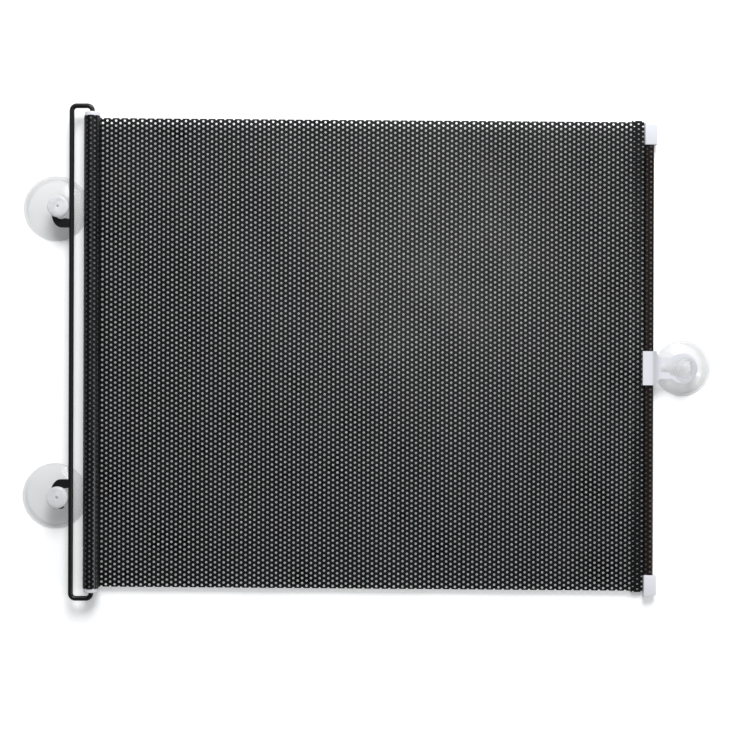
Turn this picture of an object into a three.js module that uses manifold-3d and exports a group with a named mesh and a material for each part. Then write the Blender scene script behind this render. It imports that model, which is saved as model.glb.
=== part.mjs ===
// Roll-up sunshade for a car's side window: perforated film on a spring roller, a bent wire bracket,
// a hemmed pull bar and three suction cups. Millimetres. It lies on the rims of its cups, as on the glass.
// +X is the way the film is pulled out, +Y runs along the roller, +Z points away from the glass.

import * as THREE from 'three';
import Module from 'manifold-3d';
import { mergeVertices } from 'three/addons/utils/BufferGeometryUtils.js';

// Fits between neighbouring pieces
const seatGap = 0.3;
const pressGap = 0.15;
const overcut = 1;

// Film
const filmWidth = 400;
const filmThickness = 0.25;
const pullOut = 478;
const hemDrift = 2;
const weldBand = 10.5;
const pocketWidth = 8.6;
const notchUpper = 20;
const notchLower = 14;

// Perforation of the panel: each hole stands for about a hundred real ones, with the same open share
const realHolePitch = 4.3;
const realHoleRadius = 1.15;
const holeGroup = 10;
const perforationMargin = 4;

// Roller and the film left on it
const tubeRadius = 6;
const tubeWall = 0.9;
const turnsLeft = 2.25;
const turnAir = 0.1;
const plugFlangeRadius = 6.2;
const plugFlangeLength = 3.4;
const plugBarrelLength = 14;
const runningGap = 0.25;

// Spring motor inside the tube
const arborSocketRadius = 3.4;
const arborSocketLength = 14;
const arborFlangeLength = 2;
const arborFlangeRadius = 4.6;
const arborRodRadius = 1.6;
const wireTipLength = 9;
const wireTipThickness = 2;
const springWire = 0.8;
const springMeanRadius = 3.5;
const springLength = 110;
const springTurns = 20;
const springLeg = 1.6;
const anchorLength = 10;
const arborTail = 4;
const retainerRadius = 3.2;
const retainerLength = 1.6;

// Wire bracket
const wireRadius = 1.8;
const bracketHeight = 422;
const wireToAxis = 17.2;
const wireBend = 4.2;

// Suction cups
const cupRimRadius = 28.2;
const pullCupRimRadius = 24.2;
const cupRimLand = 1.8;
const cupLean = 5.5;
const cupNeckRadius = 4.25;
const cupNeckBase = 10;
const cupNeckLength = 3.5;
const cupHeadRadius = 7.9;
const cupHeadHeight = 4.5;
const cupPitRadius = 1.35;
const cupPitDepth = 2.6;
const cupRoof = 2.2;
const cupHalfPitch = 123;
const cupToWire = 10.8;

// Hooks on the bracket
const hookWall = 3;
const hookArmOffset = 13.5;
const hookArmWidth = 7.2;
const hookEyeHeight = 17;
const hookEyeHalfWidth = 6.7;
const hookTip = 5.7;
const hookEdge = 0.4;

// Pull bar, caps and tab
const barThickness = 2.6;
const barInset = 1;
const capLength = 19;
const capSocketDepth = 14;
const capWidth = 10.5;
const capOverhang = 2.2;
const capThickness = 6.2;
const capSlant = 2.2;
const capCorner = 1;
const tabOffset = -10;
const tabBlockWidth = 29;
const tabBlockLip = 1.2;
const tabWall = 1.5;
const tabEdge = 0.5;
const tabRingRadius = 12.8;
const tabPlateThickness = 2.6;
const tabWaist = 9;
const tabFillet = 5;
const tabBackWall = 1.4;
const cupToHem = 25.5;
const tabRingWall = 5.6;
const slotWide = 6.4;
const slotNarrow = 3.4;
const slotWideLength = 18;
const slotNarrowLength = 7.7;

// Facets
const roundSides = 24;
const cupSides = 32;
const wireSides = 10;
const bendSteps = 5;
const springSides = 5;
const springSteps = 10;
const spiralSteps = 24;

// Places that follow from the sizes, with the roller's axis at x = 0
const hookPlaneZ = cupNeckBase + cupNeckLength / 2;
const windingPitch = filmThickness + turnAir;
const windingInner = tubeRadius + pressGap;
const rollRadius = windingInner + turnsLeft * windingPitch + filmThickness;
const filmZ = hookPlaneZ - rollRadius;
const hemZ = filmZ + filmThickness;
const wireX = -wireToAxis;
const cupX = wireX - cupToWire;
const pullCupX = pullOut + cupToHem;
const pocketX = pullOut - pocketWidth;
const bandX = pocketX - weldBand;
const pocketHalf = barThickness / 2 + seatGap + filmThickness;
const pocketTop = filmWidth / 2 - notchUpper;
const pocketBottom = -filmWidth / 2 + notchLower;
const bracketRunY = bracketHeight / 2 - wireRadius;
const rollerEndY = filmWidth / 2;
const plugBarrelRadius = tubeRadius - tubeWall - pressGap;
const barLeft = pocketX + pocketHalf + barInset - barThickness / 2;
const barRight = pullOut - pocketHalf + barThickness / 2;

// The part's origin is under the middle of its outline
const leftEdge = cupX - cupLean - cupRimRadius;
const rightEdge = pullCupX + pullCupRimRadius;
const originX = (leftEdge + rightEdge) / 2;

const wasm = await Module();
wasm.setup();

// Joining and cutting

function solidOf(geometry) {
  const bare = new THREE.BufferGeometry();
  const source = geometry.index ? geometry.toNonIndexed() : geometry;
  bare.setAttribute('position', source.getAttribute('position'));
  const merged = mergeVertices(bare, 1e-4);
  const index = merged.index.array;
  const kept = [];
  for (let i = 0; i < index.length; i += 3) {
    const [a, b, c] = [index[i], index[i + 1], index[i + 2]];
    if (a !== b && b !== c && c !== a) kept.push(a, b, c);
  }
  return new wasm.Manifold(new wasm.Mesh({
    numProp: 3,
    vertProperties: merged.getAttribute('position').array,
    triVerts: new Uint32Array(kept),
  }));
}

function geometryOf(solid) {
  const mesh = solid.getMesh();
  const geometry = new THREE.BufferGeometry();
  geometry.setAttribute('position', new THREE.BufferAttribute(mesh.vertProperties, 3));
  geometry.setIndex(new THREE.BufferAttribute(mesh.triVerts, 1));
  geometry.computeVertexNormals();
  return geometry;
}

function cut(geometry, ...tools) {
  return geometryOf(tools.reduce((left, tool) => left.subtract(solidOf(tool)), solidOf(geometry)));
}

// A box given by its two corners
function block(x0, x1, y0, y1, z0, z1) {
  const box = new THREE.BoxGeometry(x1 - x0, y1 - y0, z1 - z0);
  return box.translate((x0 + x1) / 2, (y0 + y1) / 2, (z0 + z1) / 2);
}

// A section drawn in X and Z, run along Y between two stations
function runAlongY(section, y0, y1, curveSegments = 4) {
  const geometry = new THREE.ExtrudeGeometry(section, {
    depth: y1 - y0,
    bevelEnabled: false,
    curveSegments,
  });
  return geometry.rotateX(Math.PI / 2).translate(0, y1, 0);
}

// A plate drawn in X and Y with softened edges, between two heights
function plate(outline, z0, z1, edge, curveSegments = 4) {
  const geometry = new THREE.ExtrudeGeometry(outline, {
    depth: z1 - z0 - 2 * edge,
    bevelEnabled: edge > 0,
    bevelThickness: edge,
    bevelSize: edge,
    bevelOffset: -edge,
    bevelSegments: 1,
    curveSegments,
  });
  return geometry.translate(0, 0, z0 + edge);
}

// A body turned about the Y axis from [radius, y] pairs, low y first along its outside
function turned(profile, sides = roundSides) {
  return new THREE.LatheGeometry(profile.map(([radius, y]) => new THREE.Vector2(radius, y)), sides);
}

// A curve that an extrusion steps along station by station, so that bends get more steps than straight runs
class StationCurve extends THREE.Curve {
  constructor(stations) {
    super();
    this.stations = stations;
  }

  getPoint(t, target = new THREE.Vector3()) {
    const at = t * (this.stations.length - 1);
    const first = Math.min(Math.floor(at + 1e-9), this.stations.length - 2);
    return target.lerpVectors(this.stations[first], this.stations[first + 1], at - first);
  }

  getPointAt(u, target) {
    return this.getPoint(u, target);
  }

  getTangentAt(u, target = new THREE.Vector3()) {
    const last = this.stations.length - 1;
    const at = Math.round(u * last);
    const before = this.stations[Math.max(at - 1, 0)];
    const here = this.stations[at];
    const after = this.stations[Math.min(at + 1, last)];
    const incoming = new THREE.Vector3().subVectors(here, before).normalize();
    const outgoing = new THREE.Vector3().subVectors(after, here).normalize();
    return target.addVectors(incoming, outgoing).normalize();
  }
}

function rod(stations, radius, sides) {
  const section = new THREE.Shape();
  for (let i = 0; i < sides; i += 1) {
    const angle = (2 * Math.PI * i) / sides;
    const [x, y] = [radius * Math.cos(angle), radius * Math.sin(angle)];
    if (i === 0) section.moveTo(x, y);
    else section.lineTo(x, y);
  }
  section.closePath();
  return new THREE.ExtrudeGeometry(section, {
    extrudePath: new StationCurve(stations),
    steps: stations.length - 1,
    bevelEnabled: false,
  });
}

// A quarter bend in the XY plane from one direction angle to the next
function bend(centreX, centreY, radius, fromAngle, toAngle, z) {
  const stations = [];
  for (let i = 0; i <= bendSteps; i += 1) {
    const angle = THREE.MathUtils.degToRad(fromAngle + ((toAngle - fromAngle) * i) / bendSteps);
    const x = centreX + radius * Math.cos(angle);
    const y = centreY + radius * Math.sin(angle);
    stations.push(new THREE.Vector3(x, y, z));
  }
  return stations;
}

// Wire bracket: a wide C whose ends turn in along the roller's axis. The lower tip is flattened
// so that it can't turn in the spring's arbor.

const arborSocketEnd = -rollerEndY + plugBarrelLength + seatGap;
const arborFlangeY = arborSocketEnd + arborSocketLength;
const wireLowerTip = arborSocketEnd - seatGap + wireTipLength;
const wireUpperTip = rollerEndY - plugBarrelLength / 2;

function wireBracketGeometry() {
  const z = hookPlaneZ;
  const inner = bracketRunY - wireBend;
  const stations = [
    new THREE.Vector3(0, wireUpperTip, z),
    ...bend(-wireBend, inner, wireBend, 0, 90, z),
    ...bend(wireX + wireBend, inner, wireBend, 90, 180, z),
    ...bend(wireX + wireBend, -inner, wireBend, 180, 270, z),
    ...bend(-wireBend, -inner, wireBend, 270, 360, z),
    new THREE.Vector3(0, wireLowerTip, z),
  ];
  const wire = rod(stations, wireRadius, wireSides);
  const flatStart = wireLowerTip - wireTipLength;
  const flatEnd = wireLowerTip + overcut;
  const half = wireTipThickness / 2;
  const reach = wireRadius + overcut;
  return cut(
    wire,
    block(half, reach, flatStart, flatEnd, z - reach, z + reach),
    block(-reach, -half, flatStart, flatEnd, z - reach, z + reach),
  );
}

// Hook: a flat C round the cup's neck, its arm welded to the wire. u runs from the wire towards the cup,
// v from the arm towards the cup.
function hookGeometry(side) {
  const eyeU = cupToWire + cupNeckRadius + seatGap - hookEyeHalfWidth;
  const eyeHalfHeight = hookEyeHeight / 2;
  const eyeV = hookArmWidth / 2 + eyeHalfHeight;
  const outerHalfWidth = hookEyeHalfWidth + hookWall;
  const outerHalfHeight = (hookArmWidth + hookEyeHeight + hookWall) / 2;
  const outerV = outerHalfHeight - hookArmWidth / 2;
  const outerTip = Math.acos((hookTip - eyeU) / outerHalfWidth);
  const innerTip = Math.acos((hookTip - eyeU) / hookEyeHalfWidth);
  const outline = new THREE.Shape();
  outline.moveTo(0, -hookArmWidth / 2);
  outline.absellipse(eyeU, outerV, outerHalfWidth, outerHalfHeight, -Math.PI / 2, outerTip, false);
  outline.absellipse(eyeU, eyeV, hookEyeHalfWidth, eyeHalfHeight, innerTip, -innerTip, true);
  outline.lineTo(0, hookArmWidth / 2);
  outline.closePath();
  const armY = cupHalfPitch - hookArmOffset;
  const placed = new THREE.Shape(
    outline.getPoints(7).map((p) => new THREE.Vector2(wireX - p.x, side * (armY + p.y))),
  );
  const half = cupNeckLength / 2 - seatGap;
  const hook = plate(placed, hookPlaneZ - half, hookPlaneZ + half, hookEdge);
  const wireSeat = new THREE.CylinderGeometry(
    wireRadius + seatGap, wireRadius + seatGap, 2 * hookArmOffset, wireSides * 2,
  ).translate(wireX, side * armY, hookPlaneZ);
  return cut(hook, wireSeat);
}

// Suction cup: a soft dome, a neck and a mushroom head with a moulding pit. The film's pull leans the
// dome back from the neck.
function cupGeometry(rimRadius, lean) {
  const roof = cupNeckBase - cupRoof;
  const headBase = cupNeckBase + cupNeckLength;
  const headTop = headBase + cupHeadHeight;
  const inside = rimRadius - cupRimLand;
  const profile = [
    [0, roof],
    [inside * 0.3, roof * 0.95],
    [inside * 0.6, roof * 0.72],
    [inside * 0.85, roof * 0.35],
    [inside, 0],
    [rimRadius, 0],
    [rimRadius, 0.5],
    [rimRadius * 0.96, 1.1],
    [rimRadius * 0.85, cupNeckBase * 0.33],
    [rimRadius * 0.62, cupNeckBase * 0.64],
    [rimRadius * 0.36, cupNeckBase * 0.87],
    [cupNeckRadius * 1.45, cupNeckBase * 0.96],
    [cupNeckRadius, cupNeckBase],
    [cupNeckRadius, headBase],
    [cupHeadRadius * 0.92, headBase],
    [cupHeadRadius, headBase + cupHeadHeight * 0.2],
    [cupHeadRadius, headBase + cupHeadHeight * 0.6],
    [cupHeadRadius * 0.86, headBase + cupHeadHeight * 0.88],
    [cupHeadRadius * 0.55, headTop],
    [cupPitRadius, headTop],
    [cupPitRadius * 0.7, headTop - cupPitDepth],
    [0, headTop - cupPitDepth],
  ];
  const cup = turned(profile, cupSides).rotateX(Math.PI / 2);
  const points = cup.getAttribute('position');
  for (let i = 0; i < points.count; i += 1) {
    const below = Math.max(1 - points.getZ(i) / cupNeckBase, 0);
    points.setX(i, points.getX(i) - lean * below);
  }
  return cup;
}

// Roller: a tube, the film's last turns and the two end plugs

function tubeGeometry() {
  const bore = tubeRadius - tubeWall;
  return turned([
    [bore, -rollerEndY],
    [tubeRadius, -rollerEndY],
    [tubeRadius, rollerEndY],
    [bore, rollerEndY],
    [bore, -rollerEndY],
  ]);
}

// The winding's section is a spiral that ends at the bottom of the roll, where the panel leaves it
function windingGeometry() {
  const steps = Math.round(turnsLeft * spiralSteps);
  const outside = [];
  const inside = [];
  for (let i = 0; i <= steps; i += 1) {
    const turn = (turnsLeft * i) / steps;
    const angle = -Math.PI / 2 - 2 * Math.PI * (turnsLeft - turn);
    const radius = windingInner + turn * windingPitch;
    const direction = new THREE.Vector2(Math.cos(angle), Math.sin(angle));
    inside.push(direction.clone().multiplyScalar(radius));
    outside.push(direction.clone().multiplyScalar(radius + filmThickness));
  }
  const section = new THREE.Shape([...outside, ...inside.reverse()]);
  return runAlongY(section, -rollerEndY, rollerEndY);
}

// The plug's flange covers the tube's end. Its bore takes the wire: blind at the upper end, right through
// at the lower end, where the wire goes on into the arbor.
function plugGeometry(side) {
  const bore = wireRadius + runningGap;
  const inner = rollerEndY - plugBarrelLength;
  const outer = rollerEndY + plugFlangeLength;
  const edge = plugFlangeLength * 0.2;
  const shell = [
    [plugBarrelRadius * 0.9, inner],
    [plugBarrelRadius, inner + edge],
    [plugBarrelRadius, rollerEndY],
    [plugFlangeRadius, rollerEndY],
    [plugFlangeRadius, outer - edge],
    [plugFlangeRadius - edge, outer],
    [bore, outer],
  ];
  const blindEnd = wireUpperTip - seatGap;
  const profile = side > 0
    ? [[0, inner], ...shell, [bore, blindEnd], [0, blindEnd]]
    : [[bore, inner], ...shell, [bore, inner]];
  const plug = turned(profile);
  return side > 0 ? plug : plug.rotateX(Math.PI);
}

// Spring motor: the arbor stands still on the wire's flattened tip, and the spring runs from its flange
// to the anchor, which is fixed in the tube

const springStart = arborFlangeY + arborFlangeLength + seatGap + springWire / 2;
const springEnd = springStart + springLength;
const anchorY = springEnd + springWire / 2 + seatGap;

function arborGeometry() {
  const rodEnd = anchorY + anchorLength + arborTail;
  const body = turned([
    [0, arborSocketEnd],
    [arborSocketRadius, arborSocketEnd],
    [arborSocketRadius, arborFlangeY],
    [arborFlangeRadius, arborFlangeY],
    [arborFlangeRadius, arborFlangeY + arborFlangeLength],
    [arborRodRadius, arborFlangeY + arborFlangeLength],
    [arborRodRadius, rodEnd],
    [0, rodEnd],
  ]);
  const slotX = wireTipThickness / 2 + pressGap;
  const slotZ = wireRadius + pressGap;
  const slotEnd = wireLowerTip + seatGap;
  const socket = block(-slotX, slotX, arborSocketEnd - overcut, slotEnd, -slotZ, slotZ);
  const leg = springWire / 2 + pressGap;
  const legNotch = block(
    springMeanRadius - leg, arborFlangeRadius + overcut,
    arborFlangeY + arborFlangeLength - springLeg, arborFlangeY + arborFlangeLength + overcut,
    -leg, leg,
  );
  return cut(body, socket, legNotch);
}

function springGeometry() {
  const steps = springTurns * springSteps;
  const at = (angle, y) => new THREE.Vector3(
    springMeanRadius * Math.cos(angle), y, springMeanRadius * Math.sin(angle),
  );
  const stations = [at(0, springStart - springWire / 2 - springLeg)];
  for (let i = 0; i <= steps; i += 1) {
    stations.push(at((2 * Math.PI * i) / springSteps, springStart + (springLength * i) / steps));
  }
  stations.push(at(0, springEnd + springWire / 2 + springLeg));
  return rod(stations, springWire / 2, springSides);
}

function anchorGeometry() {
  const bore = arborRodRadius + runningGap;
  const end = anchorY + anchorLength;
  const body = turned([
    [bore, anchorY],
    [plugBarrelRadius, anchorY],
    [plugBarrelRadius, end],
    [bore, end],
    [bore, anchorY],
  ]);
  const leg = springWire / 2 + pressGap;
  const notch = block(
    springMeanRadius - leg, plugBarrelRadius + overcut,
    anchorY - overcut, anchorY + springLeg + springWire, -leg, leg,
  );
  return cut(body, notch);
}

// Push-on ring that keeps the anchor on the arbor's rod
function retainerGeometry() {
  const bore = arborRodRadius + pressGap;
  const start = anchorY + anchorLength + seatGap;
  return turned([
    [bore, start],
    [retainerRadius, start],
    [retainerRadius, start + retainerLength],
    [bore, start + retainerLength],
    [bore, start],
  ]);
}

// Film between the roller and the hem. It runs a little low at the hem, as loosely wound film does.
function panelGeometry() {
  const start = seatGap;
  const end = bandX - seatGap;
  const half = filmWidth / 2;
  const driftAt = (x) => (-hemDrift * x) / bandX;
  const outline = new THREE.Shape([
    new THREE.Vector2(start, driftAt(start) - half),
    new THREE.Vector2(end, driftAt(end) - half),
    new THREE.Vector2(end, driftAt(end) + half),
    new THREE.Vector2(start, driftAt(start) + half),
  ]);
  const pitch = realHolePitch * holeGroup;
  const radius = realHoleRadius * holeGroup;
  const columnPitch = (pitch * Math.sqrt(3)) / 2;
  const firstX = rollRadius + perforationMargin + radius;
  const columns = Math.floor((end - perforationMargin - radius - firstX) / columnPitch) + 1;
  const slack = end - perforationMargin - radius - firstX - (columns - 1) * columnPitch;
  for (let column = 0; column < columns; column += 1) {
    const x = firstX + slack / 2 + column * columnPitch;
    const stagger = column % 2 === 0 ? 0 : pitch / 2;
    const reach = half - perforationMargin - radius;
    const rows = Math.floor((reach - stagger) / pitch);
    for (let row = -rows - (stagger > 0 ? 1 : 0); row <= rows; row += 1) {
      const hole = new THREE.Path();
      hole.absarc(x, driftAt(x) + stagger + row * pitch, radius, 0, 2 * Math.PI);
      outline.holes.push(hole);
    }
  }
  return plate(outline, filmZ, filmZ + filmThickness, 0, 3);
}

// Hem: the film is folded back and welded flat, and the fold is left open as a pocket for the bar.
// The pocket is notched at both ends to make room for the caps.
function hemGeometry() {
  const t = filmThickness;
  const inner = pocketHalf - t;
  const turnX = pullOut - pocketHalf;
  const riseX = pocketX + pocketHalf;
  const section = new THREE.Shape();
  section.moveTo(bandX, hemZ - t);
  section.lineTo(pocketX, hemZ - t);
  section.quadraticCurveTo(pocketX + t, hemZ - pocketHalf, riseX, hemZ - pocketHalf);
  section.lineTo(turnX, hemZ - pocketHalf);
  section.absarc(turnX, hemZ, pocketHalf, -Math.PI / 2, Math.PI / 2, false);
  section.lineTo(riseX, hemZ + pocketHalf);
  section.quadraticCurveTo(pocketX + t, hemZ + pocketHalf, pocketX, hemZ + t);
  section.lineTo(bandX, hemZ + t);
  section.closePath();
  const bore = new THREE.Path();
  bore.moveTo(pocketX + 2 * t, hemZ);
  bore.quadraticCurveTo(pocketX + 3 * t, hemZ - inner, riseX, hemZ - inner);
  bore.lineTo(turnX, hemZ - inner);
  bore.absarc(turnX, hemZ, inner, -Math.PI / 2, Math.PI / 2, false);
  bore.lineTo(riseX, hemZ + inner);
  bore.quadraticCurveTo(pocketX + 3 * t, hemZ + inner, pocketX + 2 * t, hemZ);
  section.holes.push(bore);
  const half = filmWidth / 2;
  const hem = runAlongY(section, -half, half, 5);
  const low = hemZ - pocketHalf - overcut;
  const high = hemZ + pocketHalf + overcut;
  return cut(
    hem,
    block(pocketX, pullOut + overcut, pocketTop, half + overcut, low, high),
    block(pocketX, pullOut + overcut, -half - overcut, pocketBottom, low, high),
  );
}

// Flat bar with round edges, in the pocket and in both caps
const barEndUpper = pocketTop + seatGap + capSocketDepth;
const barEndLower = pocketBottom - seatGap - capSocketDepth;

function barSection(clearance) {
  const radius = barThickness / 2;
  const section = new THREE.Shape();
  section.absarc(barRight - radius, hemZ, radius + clearance, -Math.PI / 2, Math.PI / 2, false);
  section.absarc(barLeft + radius, hemZ, radius + clearance, Math.PI / 2, 1.5 * Math.PI, false);
  section.closePath();
  return section;
}

function barGeometry() {
  return runAlongY(barSection(0), barEndLower, barEndUpper);
}

// Cap: a flat moulding with a slanted end and a blind socket for the bar
function capGeometry(side) {
  const x1 = pullOut + capOverhang;
  const x0 = x1 - capWidth;
  const y0 = side > 0 ? pocketTop + seatGap : -pocketBottom + seatGap;
  const y1 = y0 + capLength;
  const outline = new THREE.Shape();
  outline.moveTo(x0, y0);
  outline.lineTo(x1, y0);
  outline.lineTo(x1, y1 - capSlant - capCorner);
  outline.quadraticCurveTo(x1, y1 - capSlant, x1 - capCorner, y1 - capSlant);
  outline.lineTo(x0 + capCorner, y1);
  outline.quadraticCurveTo(x0, y1, x0, y1 - capCorner);
  outline.closePath();
  const placed = new THREE.Shape(
    outline.getPoints(3).map((p) => new THREE.Vector2(p.x, side * p.y)),
  );
  const cap = plate(placed, hemZ - capThickness / 2, hemZ + capThickness / 2, tabEdge);
  const mouth = side > 0 ? y0 - overcut : -y0 + overcut;
  const seat = side * (y0 + capSocketDepth + seatGap);
  const socket = runAlongY(barSection(pressGap), Math.min(mouth, seat), Math.max(mouth, seat));
  return cut(cap, socket);
}

// Tab: a block that clips round the hem's pocket, rising to a flat ring with a keyhole for the cup's neck
function tabGeometry() {
  const blockLeft = pocketX - tabBlockLip;
  const blockRight = pullOut + tabBackWall;
  const blockHalf = pocketHalf + seatGap + tabWall;
  const slotEnd = pullCupX + cupNeckRadius + seatGap;
  const ringX = slotEnd + tabRingWall - tabRingRadius;
  const waistAngle = Math.PI - Math.asin(tabWaist / tabRingRadius);
  const halfWidth = tabBlockWidth / 2;
  const wideStart = slotEnd - slotWideLength;
  const narrowStart = wideStart - slotNarrowLength;

  const outline = new THREE.Shape();
  outline.moveTo(blockLeft, -halfWidth);
  outline.lineTo(blockRight, -halfWidth);
  outline.quadraticCurveTo(blockRight, -tabWaist, blockRight + tabFillet, -tabWaist);
  outline.absarc(ringX, 0, tabRingRadius, -waistAngle, waistAngle, false);
  outline.lineTo(blockRight + tabFillet, tabWaist);
  outline.quadraticCurveTo(blockRight, tabWaist, blockRight, halfWidth);
  outline.lineTo(blockLeft, halfWidth);
  outline.closePath();

  const slot = new THREE.Path();
  const round = slotNarrow / 2;
  const corner = cupNeckRadius / 2;
  slot.moveTo(narrowStart, -slotNarrow + round);
  slot.quadraticCurveTo(narrowStart, -slotNarrow, narrowStart + round, -slotNarrow);
  slot.lineTo(wideStart, -slotNarrow);
  slot.quadraticCurveTo(wideStart, -slotWide, wideStart + corner, -slotWide);
  slot.lineTo(slotEnd - corner, -slotWide);
  slot.quadraticCurveTo(slotEnd, -slotWide, slotEnd, -slotWide + corner);
  slot.lineTo(slotEnd, slotWide - corner);
  slot.quadraticCurveTo(slotEnd, slotWide, slotEnd - corner, slotWide);
  slot.lineTo(wideStart + corner, slotWide);
  slot.quadraticCurveTo(wideStart, slotWide, wideStart, slotNarrow);
  slot.lineTo(narrowStart + round, slotNarrow);
  slot.quadraticCurveTo(narrowStart, slotNarrow, narrowStart, slotNarrow - round);
  slot.closePath();
  outline.holes.push(slot);

  const plateLow = hookPlaneZ - tabPlateThickness / 2;
  const plateHigh = hookPlaneZ + tabPlateThickness / 2;
  const blockLow = hemZ - blockHalf;
  const blockHigh = hemZ + blockHalf;
  const side = new THREE.Shape();
  side.moveTo(blockLeft, blockLow + tabEdge);
  side.lineTo(blockLeft + tabEdge, blockLow);
  side.lineTo(blockRight - tabEdge, blockLow);
  side.lineTo(blockRight, blockLow + tabEdge);
  side.lineTo(blockRight, hemZ);
  side.quadraticCurveTo(blockRight + tabFillet / 2, plateLow, blockRight + tabFillet, plateLow);
  side.lineTo(slotEnd + tabRingWall + overcut, plateLow);
  side.lineTo(slotEnd + tabRingWall + overcut, plateHigh);
  side.lineTo(blockRight + tabFillet, plateHigh);
  side.quadraticCurveTo(blockRight, plateHigh, blockRight - tabFillet / 2, blockHigh);
  side.lineTo(blockLeft + tabEdge, blockHigh);
  side.lineTo(blockLeft, blockHigh - tabEdge);
  side.closePath();

  const plan = solidOf(plate(outline, blockLow - overcut, plateHigh + overcut, 0, 6));
  const profile = solidOf(runAlongY(side, -halfWidth - overcut, halfWidth + overcut, 5));
  const room = pocketHalf + seatGap;
  const channelEnd = pullOut + seatGap;
  const span = halfWidth + overcut;
  const channel = block(pocketX - seatGap, channelEnd, -span, span, hemZ - room, hemZ + room);
  const lip = filmThickness + seatGap;
  const mouth = block(blockLeft - overcut, pocketX, -span, span, hemZ - lip, hemZ + lip);
  return cut(geometryOf(plan.intersect(profile)), channel, mouth);
}

// Finishes
const finishes = {
  film: { color: 0x17181a, roughness: 0.28, metalness: 0 },
  coatedWire: { color: 0x141415, roughness: 0.42, metalness: 0.1 },
  whitePlastic: { color: 0xe3e4ea, roughness: 0.5, metalness: 0 },
  clearVinyl: { color: 0xdfe3e6, roughness: 0.12, metalness: 0, transparent: true, opacity: 0.4 },
  tubePlastic: { color: 0x8d8f92, roughness: 0.55, metalness: 0 },
  barPlastic: { color: 0x6b5a52, roughness: 0.6, metalness: 0 },
  springSteel: { color: 0xa9adb2, roughness: 0.3, metalness: 1 },
  naturalNylon: { color: 0xd9d4c4, roughness: 0.5, metalness: 0 },
};

function piece(name, geometry, finish, place = [0, 0, 0]) {
  const mesh = new THREE.Mesh(geometry, new THREE.MeshStandardMaterial(finishes[finish]));
  mesh.name = name;
  mesh.position.set(...place);
  return mesh;
}

const shade = new THREE.Group();
shade.position.x = -originX;

const bracket = new THREE.Group();
bracket.add(
  piece('wire_bracket', wireBracketGeometry(), 'coatedWire'),
  piece('cup_hook_upper', hookGeometry(1), 'coatedWire'),
  piece('cup_hook_lower', hookGeometry(-1), 'coatedWire'),
  piece('suction_cup_upper', cupGeometry(cupRimRadius, cupLean), 'clearVinyl', [cupX, cupHalfPitch, 0]),
  piece('suction_cup_lower', cupGeometry(cupRimRadius, cupLean), 'clearVinyl', [cupX, -cupHalfPitch, 0]),
);

const roller = new THREE.Group();
roller.position.z = hookPlaneZ;
roller.add(
  piece('roller_tube', tubeGeometry(), 'tubePlastic'),
  piece('film_wound', windingGeometry(), 'film'),
  piece('end_plug_upper', plugGeometry(1), 'whitePlastic'),
  piece('end_plug_lower', plugGeometry(-1), 'whitePlastic'),
  piece('spring_arbor', arborGeometry(), 'naturalNylon'),
  piece('torsion_spring', springGeometry(), 'springSteel'),
  piece('spring_anchor', anchorGeometry(), 'naturalNylon'),
  piece('arbor_retainer', retainerGeometry(), 'springSteel'),
);

const pullEnd = new THREE.Group();
pullEnd.position.y = -hemDrift;
pullEnd.add(
  piece('film_hem', hemGeometry(), 'film'),
  piece('pull_bar', barGeometry(), 'barPlastic'),
  piece('bar_cap_upper', capGeometry(1), 'whitePlastic'),
  piece('bar_cap_lower', capGeometry(-1), 'whitePlastic'),
  piece('pull_tab', tabGeometry(), 'whitePlastic', [0, tabOffset, 0]),
  piece('suction_cup_pull', cupGeometry(pullCupRimRadius, 0), 'clearVinyl', [pullCupX, tabOffset, 0]),
);

shade.add(bracket, roller, piece('film_panel', panelGeometry(), 'film'), pullEnd);

export default shade;
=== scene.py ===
import math

import bmesh
import bpy
from mathutils import Matrix, Vector


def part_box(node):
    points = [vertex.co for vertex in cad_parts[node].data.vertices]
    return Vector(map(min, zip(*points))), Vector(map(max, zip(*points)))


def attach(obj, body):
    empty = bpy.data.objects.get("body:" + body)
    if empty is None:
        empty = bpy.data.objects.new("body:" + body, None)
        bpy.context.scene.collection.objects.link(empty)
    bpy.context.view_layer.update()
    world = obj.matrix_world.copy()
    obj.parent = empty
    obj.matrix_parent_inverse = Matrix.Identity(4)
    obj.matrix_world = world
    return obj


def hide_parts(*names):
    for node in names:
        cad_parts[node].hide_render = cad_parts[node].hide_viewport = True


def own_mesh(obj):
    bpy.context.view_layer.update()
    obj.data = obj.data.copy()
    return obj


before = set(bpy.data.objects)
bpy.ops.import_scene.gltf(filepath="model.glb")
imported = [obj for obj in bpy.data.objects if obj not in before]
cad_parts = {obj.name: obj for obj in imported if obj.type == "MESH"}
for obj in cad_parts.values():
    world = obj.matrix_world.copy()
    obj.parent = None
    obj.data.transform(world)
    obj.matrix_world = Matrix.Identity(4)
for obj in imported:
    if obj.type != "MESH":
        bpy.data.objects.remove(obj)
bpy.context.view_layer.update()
cadBox = {name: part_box(name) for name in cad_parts}
mm = 0.001
hair = 0.00001  # merges points that are meant to be one
print("frame loaded,", len(cadBox), "nodes")


# small tools

def linearColour(hexText):  # sRGB hex to the linear values that shaders take
    channels = [int(hexText[i:i + 2], 16) / 255 for i in (0, 2, 4)]
    return [c / 12.92 if c <= 0.04045 else ((c + 0.055) / 1.055) ** 2.4 for c in channels] + [1.0]


def addNode(tree, kind, inputs=None, **settings):  # a socket given as an input's value is linked to it
    made = tree.nodes.new(kind)
    for name, value in settings.items():
        setattr(made, name, value)
    for name, value in (inputs or {}).items():
        if isinstance(value, bpy.types.NodeSocket):
            tree.links.new(value, made.inputs[name])
        else:
            made.inputs[name].default_value = value
    return made


def newMaterial(name):
    material = bpy.data.materials.new(name)
    material.use_nodes = True
    material.node_tree.nodes.clear()
    return material, material.node_tree


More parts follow.
